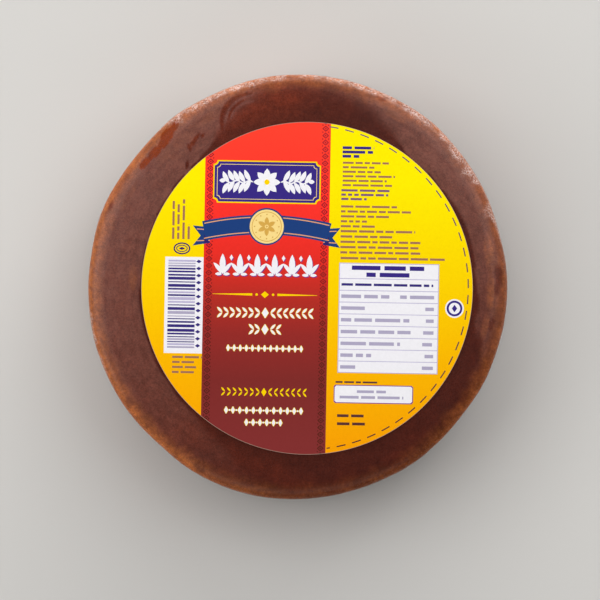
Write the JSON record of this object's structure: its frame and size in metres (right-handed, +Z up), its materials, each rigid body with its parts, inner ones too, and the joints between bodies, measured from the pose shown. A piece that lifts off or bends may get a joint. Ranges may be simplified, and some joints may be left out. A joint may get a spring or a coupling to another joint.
{
  "type": "shrink-wrapped round panela block",
  "caption": "Low round block of unrefined brown cane sugar in clear shrink film, with a round printed paper label on its slightly crowned top and rounded upper and lower edges.",
  "frame": {"origin": "middle of the flat underside, on the surface that the block lies on", "axes": "+Z up, from the underside to the label; +Y towards the top edge of the label's print; +X to the right of it"},
  "size_m": [0.1186, 0.1202, 0.0338],
  "materials": {
    "sugar_under_film": "gloss",
    "label_paper": "satin"
  },
  "bodies": {
    "root": {"panela_disc": "sugar_under_film", "label": "label_paper"}
  },
  "joints": []
}
